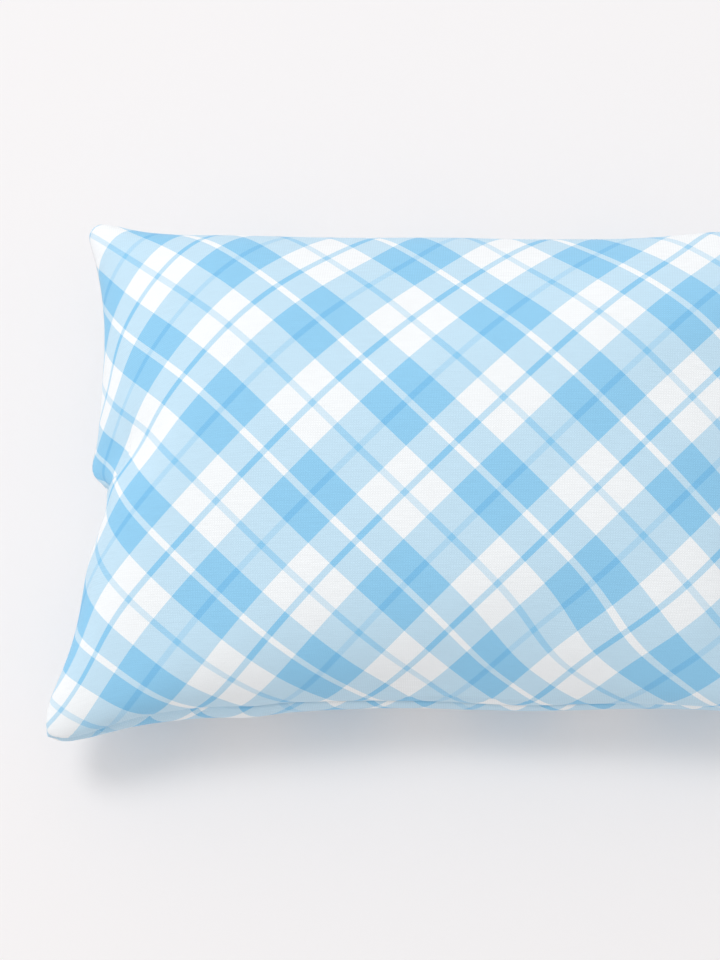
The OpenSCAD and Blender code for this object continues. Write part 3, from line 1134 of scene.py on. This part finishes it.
@dataclass
class Cover:
    """The plaid cover: two panels sewn face to face."""

    seam: SeamLine = field(default_factory=SeamLine)
    stitch_height: float = 0.0075
    front_offset: Pair = (0.0581, 0.0926)
    back_offset: Pair = (0.0664, 0.0269)
    front_eases: tuple[Ease, ...] = (
        Ease((-0.235, 0.156), (0.070, 0.155), (-0.0161, 0.0337)),
        Ease((-0.255, 0.042), (0.035, 0.040), (-0.0199, 0.0222)),
        Ease((-0.260, -0.031), (0.035, 0.040), (-0.0294, 0.0132)),
        Ease((-0.195, -0.190), (0.160, 0.077), (-0.0208, -0.0008)),
        Ease((0.082, -0.127), (0.071, 0.034), (0.0110, 0.0022)),
        Ease((-0.103, 0.141), (0.082, 0.044), (-0.0016, 0.0090)),
        Ease((-0.263, -0.127), (0.035, 0.040), (-0.0170, 0.0317)))
    swells: tuple[Swell, ...] = (
        Swell((-0.232, -0.158), 0.030, 0.005), Swell((-0.240, 0.165), 0.020, 0.0025))
    front_tucks: tuple[Tuck, ...] = (
        Tuck(((-0.254, -0.024), (-0.212, -0.022), (-0.212, 0.030)), (-0.26, -0.185, -0.05, 0.06)),
        Tuck(((-0.142, -0.172), (-0.180, -0.168), (-0.224, -0.172)), (-0.24, -0.13, -0.18, -0.155),
             0.003, 0.001, (0.006, 0.004), (0.4, 0.4)),
        Tuck(((0.052, -0.168), (0.010, -0.164), (-0.034, -0.168)), (-0.05, 0.07, -0.18, -0.155),
             0.002, 0.0008, (0.006, 0.004), (0.4, 0.4)))

    def __post_init__(self) -> None:
        """Sets out the two panels."""
        self.front = Panel("cover_front_cloth", "cover_front", Side.FRONT, rise=0.082, long_shape=(2.8, 0.71),
                           cross_shape=(2.2, 0.71), corners=1.4, seam=self.seam, swells=self.swells,
                           eases=self.front_eases, tucks=self.front_tucks)
        self.back = Panel("cover_back_cloth", "cover_back", Side.BACK, rise=0.058, long_shape=(5.0, 0.55),
                          cross_shape=(5.0, 0.55), corners=0.0, seam=self.seam, swells=self.swells)

    def build(self, simulate: bool) -> dict[Side, np.ndarray]:
        """Builds and dresses both panels.

        Args:
            simulate: whether the cloth simulation runs.

        Returns:
            The places of each panel's grid.
        """
        forms = {}
        for panel, offset in ((self.front, self.front_offset), (self.back, self.back_offset)):
            piece, form = panel.build(simulate)
            row = self.seam.height + panel.side.value * self.stitch_height
            plaid = PlaidCloth(f"plaid_{panel.side.name.lower()}", panel.cut, offset, row)
            declare(piece, panel.node, plaid.make(), padded=True)
            forms[panel.side] = form
        return forms


@dataclass
class Insert:
    """The loose insert: two ticking panels and the fibre inside them."""

    cover: Cover
    cells: tuple[int, int] = (39, 27)
    ticking: float = 0.0006
    inset: float = 0.0108
    depth: float = 0.0016
    fibre_inset: float = 0.0122
    fibre_depth: float = 0.003
    far_side: float = 0.12
    slack: float = 1e-4
    colour: Colour = (0.86, 0.86, 0.84)

    def shrunk(self, form: np.ndarray, inset: float, depth: float) -> np.ndarray:
        """Cover form drawn in towards the middle of the seam plane, on the insert's coarser grid.

        Args:
            form: the places of a cover panel's grid.
            inset: how far the outline is drawn in.
            depth: how far the crown is drawn in.

        Returns:
            The smaller form.
        """
        seam = self.cover.seam
        across, along = self.cover.front.cells[1] + 1, self.cover.front.cells[0] + 1
        step = self.cover.front.cells[0] // self.cells[0]
        grid = form.reshape(across, along, 3)[::step, ::step].reshape(-1, 3).copy()
        height = grid[:, 2] - seam.height
        top = np.abs(height).max()
        rim = np.abs(height) < seam.slot_half_height + self.slack
        grid[:, 0] *= 1 - inset / seam.half_length
        grid[:, 1] *= 1 - inset / (seam.half_width - seam.long_draw)
        grid[:, 2] = seam.height + np.where(rim & (grid[:, 1] > self.far_side), 0, height) * (1 - depth / top)
        return grid

    def sheet(self, name: str, side: Side, places: np.ndarray) -> Piece:
        """Adds a grid with the given places, facing outwards.

        Args:
            name: the piece's name.
            side: the side that it faces.
            places: its vertex places.

        Returns:
            The sheet.
        """
        piece = add_grid(name, self.cells)
        move_to(piece, places)
        if side is Side.BACK:
            turn_over(piece)
        return piece

    def fibre(self, forms: dict[Side, np.ndarray]) -> Piece:
        """Makes the fibre as one closed mass: two halves with the same rim, without the very corners of the grid.

        Args:
            forms: the places of the cover panels' grids.

        Returns:
            The mass.
        """
        shapes = {side: self.shrunk(forms[side], self.fibre_inset, self.fibre_depth) for side in Side}
        edge = np.ones((self.cells[1] + 1, self.cells[0] + 1), bool)
        edge[1:-1, 1:-1] = False
        shapes[Side.BACK][edge.ravel()] = shapes[Side.FRONT][edge.ravel()]
        for shape in shapes.values():
            grid = shape.reshape(*edge.shape, 3)
            grid[[0, 0, -1, -1], [0, -1, 0, -1]] = grid[[0, 0, -1, -1], [1, -2, 1, -2]]
        halves = [self.sheet(f"fibre_{side.name.lower()}", side, shapes[side]) for side in Side]
        only(halves[0])
        halves[1].select_set(True)
        bpy.ops.object.join()
        mass = bpy.context.object
        mass.name = "fibre_mass"
        with editing(mass):
            bpy.ops.mesh.remove_doubles(threshold=1e-5)
            bpy.ops.mesh.normals_make_consistent(inside=False)
        return mass

    def build(self, forms: dict[Side, np.ndarray]) -> None:
        """Builds and dresses the ticking panels and the fibre.

        Args:
            forms: the places of the cover panels' grids.
        """
        cloth = PlainCloth("ticking_weave", self.colour).make()
        for side, node in ((Side.FRONT, "insert_front"), (Side.BACK, "insert_back")):
            piece = self.sheet(f"{node}_ticking", side, self.shrunk(forms[side], self.inset, self.depth))
            apply_modifier(piece, "SOLIDIFY", thickness=self.ticking, offset=-1.0)
            declare(piece, node, cloth, padded=True)
        loose = LooseFibre("loose_fibre").make()
        declare(self.fibre(forms), "fibre_fill", loose, padded=True)


@dataclass
class Zip:
    """The coil zip: tapes and coils modelled here, stops, slider and pull as in the CAD."""

    pitch: float = 0.0016
    wire: float = 0.00032
    tape: float = 0.0005
    ring: float = 0.001
    first_turn: float = 0.2
    turn_slant: float = 0.22
    phases: Pair = (0.25, 0.75)
    tape_cells: tuple[int, int] = (160, 10)
    tape_straight: float = 0.3
    tape_wave: float = 0.0001
    tape_waves_rate: float = 260.0
    tape_crease: float = 40.0
    tape_colour: Colour = (0.66, 0.78, 0.87)
    tape_thread: float = 0.0006

    def coil(self, node: str, side: Side, phase: float) -> Piece:
        """Winds one coil row as slanted turns of wire.

        Args:
            node: the CAD node that it stands for.
            side: the side of the chain that it lies on.
            phase: where its first turn stands, in pitches.

        Returns:
            The coil row.
        """
        low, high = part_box(node)
        wide = (high[2] - low[2]) / 2 - self.wire
        tall = (high[1] - low[1]) / 2 - self.wire
        deselect()
        bpy.ops.mesh.primitive_torus_add(major_segments=12, minor_segments=5, major_radius=self.ring,
                                         minor_radius=self.wire)
        piece = named(f"{node}_turns")
        ring = coordinates(piece)
        around = np.arctan2(ring[:, 1], ring[:, 0])
        out = np.hypot(ring[:, 0], ring[:, 1]) - self.ring
        places = np.empty_like(ring)
        places[:, 0] = low[0] + (phase + self.first_turn) * self.pitch + ring[:, 2]
        places[:, 0] += self.turn_slant * self.pitch * np.sin(around)
        places[:, 1] = (low[1] + high[1]) / 2 + (tall + out) * np.sin(around)
        places[:, 2] = (low[2] + high[2]) / 2 + (wide + out) * np.cos(around) * side.value
        move_to(piece, places)
        turns = int((high[0] - places[:, 0].max()) / self.pitch) + 1
        apply_modifier(piece, "ARRAY", count=turns, use_relative_offset=False, use_constant_offset=True,
                       constant_offset_displace=(self.pitch, 0, 0))
        with editing(piece):
            bpy.ops.mesh.normals_make_consistent(inside=False)
        bpy.ops.object.shade_smooth()
        return piece

    def woven_tape(self, node: str, side: Side) -> Piece:
        """Weaves one tape: straight beside the chain, then leaning back along its panel with a slight wave.

        Args:
            node: the CAD node that it stands for.
            side: the side of the chain that it lies on.

        Returns:
            The tape.
        """
        low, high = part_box(node)
        near, far = (low[2], high[2]) if side is Side.FRONT else (high[2], low[2])
        piece = add_grid(f"{node}_weave", self.tape_cells)
        flat = coordinates(piece)
        share = flat[:, 1] + 0.5
        bend = np.clip((share - self.tape_straight) / (1 - self.tape_straight), 0, 1)
        places = np.empty_like(flat)
        places[:, 0] = low[0] + (flat[:, 0] + 0.5) * (high[0] - low[0])
        places[:, 1] = high[1] - bend * (high[1] - low[1] - self.tape)
        places[:, 1] -= self.tape_wave * bend * (1 + np.sin(places[:, 0] * self.tape_waves_rate))
        places[:, 2] = near + share * (far - near)
        move_to(piece, places)
        if side is Side.FRONT:
            turn_over(piece)
        apply_modifier(piece, "SOLIDIFY", thickness=self.tape, offset=-1.0)
        only(piece)
        bpy.ops.object.shade_smooth_by_angle(angle=math.radians(self.tape_crease))
        return piece

    def build(self, nodes: dict[str, Piece]) -> None:
        """Builds the tapes and coils, and dresses the CAD nodes of the zip.

        Args:
            nodes: the CAD nodes by name.
        """
        weave = PlainCloth("tape_weave", self.tape_colour, self.tape_thread, Weave.HERRINGBONE).make()
        nylon = CoilNylon("coil_nylon").make()
        nickel = SatinNickel("satin_nickel").make()
        for side, phase in zip((Side.FRONT, Side.BACK), self.phases):
            tape, coil = (f"zip_{part}_{side.name.lower()}" for part in ("tape", "coil"))
            declare(self.woven_tape(tape, side), tape, weave)
            declare(self.coil(coil, side, phase), coil, nylon)
        for node in ("zip_top_stops", "zip_bottom_stop", "zip_slider", "zip_pull"):
            dress(nodes[node], nickel)
            LOG.info("%s: CAD shape", node)


# The studio


@dataclass
class Studio:
    """Pale floor, soft light from the far left and the camera above the near side."""

    elevation: float = 79.27
    focal_pixels: float = 3279.0
    target: Triple = (-0.0633, -0.0057, 0.058)
    distance: float = 2.0033
    floor_colour: Colour = (0.914, 0.887, 0.888)
    glow_colour: Colour = (0.922, 0.905, 0.913)
    glow_places: Pair = (-0.17, -0.05)
    glow_shares: Pair = (0.03, 0.48)
    dome: float = 0.785
    dome_lean: float = 0.18
    key_place: Triple = (-1.3, 1.0, 2.9)
    key_power: float = 30.0
    key_size: float = 1.0
    key_aim: Triple = (0.0, 0.0, 0.06)
    dome_way: Pair = (0.75, 0.66)
    floor_size: float = 8.0
    floor_grain: Colour = (0.88, 0.87, 0.88)
    grain_share: float = 0.04
    sensor: float = 36.0
    picture_height: float = 960.0

    def lay_floor(self) -> None:
        """Adds the floor, which keeps the object's shadow."""
        deselect()
        bpy.ops.mesh.primitive_plane_add(size=self.floor_size)
        floor = bpy.context.object
        floor.name = "studio_floor"
        shader = Shader("floor_paper")
        grain = shader.noise(shader.place(), scale=300.0)
        colour = shader.mix(grain * self.grain_share, self.floor_colour, self.floor_grain)
        material = shader.finish(colour, roughness=0.95, Specular_IOR_Level=0.0)
        glow = shader.node("ShaderNodeEmission", None, "Emission", Color=self.glow_colour, Strength=1.0)
        _, y, _ = shader.split(shader.place())
        share = shader.node("ShaderNodeMapRange", {"interpolation_type": "SMOOTHSTEP"}, Value=y,
                            From_Min=self.glow_places[0], From_Max=self.glow_places[1],
                            To_Min=self.glow_shares[0], To_Max=self.glow_shares[1])
        seen = shader.in_view() * share
        paper = Value(shader, shader.surface.outputs[0])
        mixed = shader.node("ShaderNodeMixShader", None, "Shader", i0=seen, i1=paper, i2=glow)
        shader.feed(shader.tree.nodes["Material Output"].inputs["Surface"], mixed)
        dress(floor, material)

    def light(self) -> None:
        """Adds a soft dome that is brighter at the far left, and a large soft key there."""
        sky = Surround("surround")
        x, y, _ = sky.split(sky.node("ShaderNodeTexCoord", None, "Generated"))
        strength = (y * self.dome_way[1] - x * self.dome_way[0]) * self.dome_lean + self.dome
        dome = sky.node("ShaderNodeBackground", None, "Background", Color=(1.0, 1.0, 1.0), Strength=strength)
        backdrop = sky.node("ShaderNodeBackground", None, "Background", Color=self.floor_colour, Strength=1.0)
        mixed = sky.node("ShaderNodeMixShader", None, "Shader", i0=sky.in_view(), i1=dome, i2=backdrop)
        sky.feed(sky.tree.nodes["World Output"].inputs["Surface"], mixed)
        deselect()
        bpy.ops.object.light_add(type="AREA", location=self.key_place)
        key = bpy.context.object
        key.name = "key_light"
        key.data.shape = "RECTANGLE"
        key.data.size = self.key_size
        key.data.size_y = self.key_size
        key.data.energy = self.key_power
        aim(key, Vector(self.key_aim) - key.location)

    def set_camera(self) -> None:
        """Adds the camera at the photograph's viewing angle."""
        deselect()
        bpy.ops.object.camera_add()
        camera = bpy.context.object
        camera.name = "photo_camera"
        camera.data.sensor_width = self.sensor
        camera.data.lens = self.focal_pixels / self.picture_height * self.sensor
        tilt = math.radians(self.elevation)
        back = Vector((0, -math.cos(tilt), math.sin(tilt)))
        camera.location = Vector(self.target) + back * self.distance
        aim(camera, -back)
        bpy.context.scene.camera = camera

    def build(self) -> None:
        """Sets up the floor, the light and the camera."""
        self.lay_floor()
        self.light()
        self.set_camera()
        bpy.context.scene.view_settings.view_transform = "Standard"


def main() -> None:
    """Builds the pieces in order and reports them."""
    logging.basicConfig(level=logging.INFO, format="%(name)s: %(message)s")
    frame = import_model()
    cover = Cover()
    forms = cover.build(simulate=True)
    Insert(cover).build(forms)
    Zip().build(frame["nodes"])
    Studio().build()


if __name__ == "__main__":
    main()
